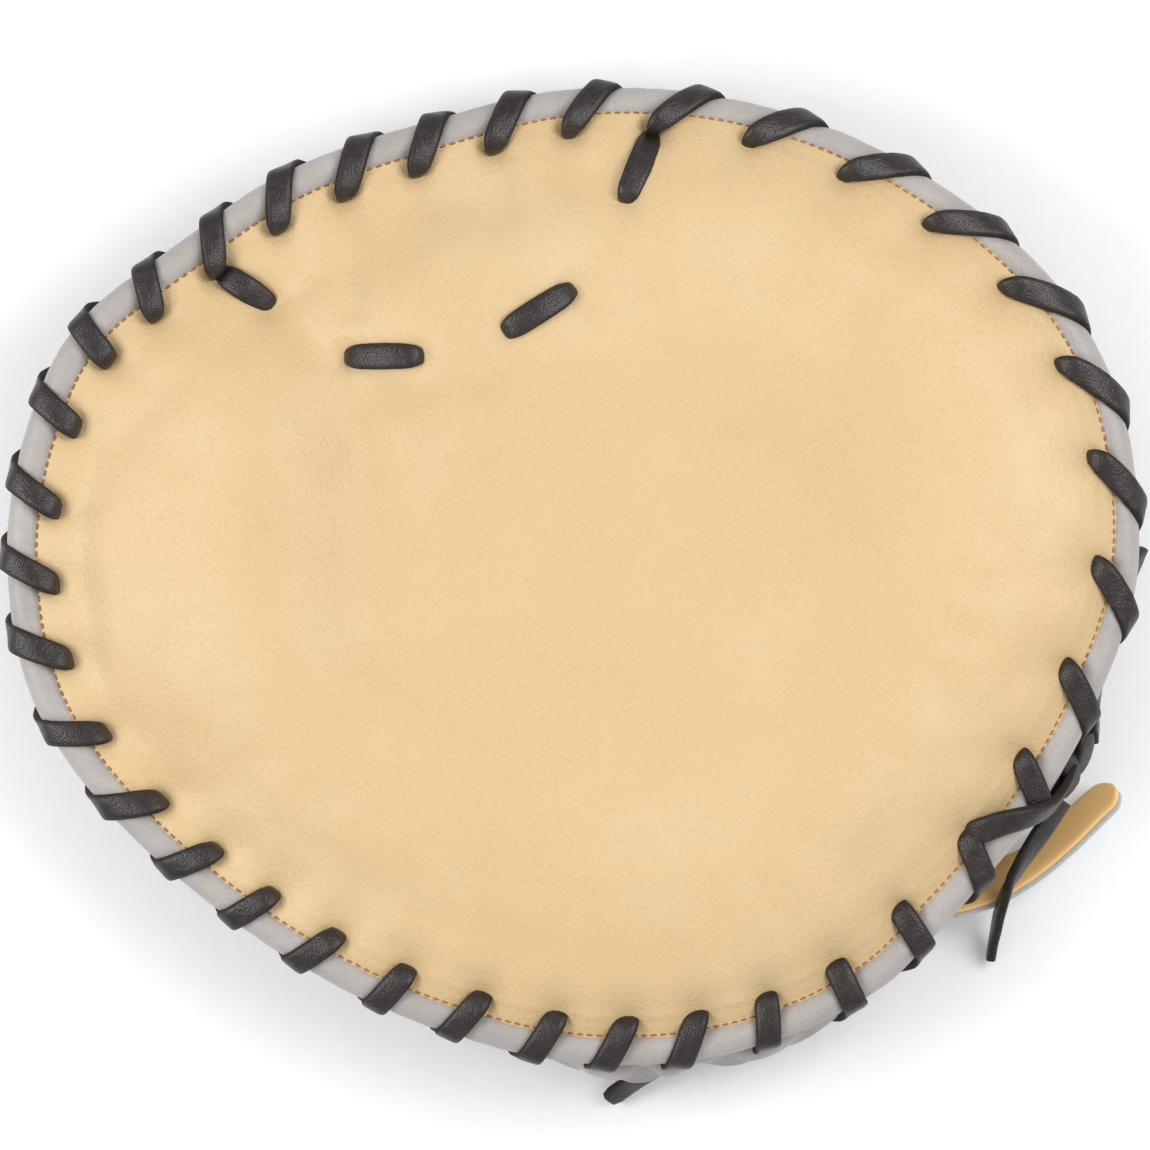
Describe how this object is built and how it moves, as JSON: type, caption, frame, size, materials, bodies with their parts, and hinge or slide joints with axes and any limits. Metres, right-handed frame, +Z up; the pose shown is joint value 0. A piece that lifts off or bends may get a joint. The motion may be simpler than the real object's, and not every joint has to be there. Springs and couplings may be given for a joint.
{
  "type": "baseball training glove",
  "caption": "Round flat fielding trainer: padded tan palm disc laced by its bound rim to a grey back shell with a hand opening and wrist strap.",
  "frame": {"origin": "on the floor under the middle of the palm, on the flattened underside of the back shell", "axes": "+X from the thumb side to the little finger side, +Y from the heel to the web, +Z up out of the palm"},
  "size_m": [0.2514, 0.2253, 0.0479],
  "materials": {
    "palm_leather": "smooth tan leather, low sheen",
    "back_leather": "light warm grey leather, low sheen",
    "binding_leather": "light warm grey rolled leather, low sheen",
    "strap_leather": "smooth tan leather, low sheen",
    "strap_lining": "pale grey split leather, matt",
    "lace": "black rawhide lace, satin"
  },
  "bodies": {
    "root": {"palm_panel": "palm_leather", "back_panel": "back_leather", "palm_binding": "binding_leather", "back_binding": "binding_leather", "opening_binding": "binding_leather", "strap_face": "strap_leather", "strap_backing": "strap_lining", "edge_lace": "lace", "crossing_lace": "lace", "web_tie_thumb": "lace", "web_tie_index": "lace", "palm_stitch_thumb": "lace", "palm_stitch_index": "lace", "rim_knot": "lace", "heel_knot": "lace", "long_tail": "lace", "rim_tail": "lace", "heel_tail": "lace"}
  },
  "joints": []
}
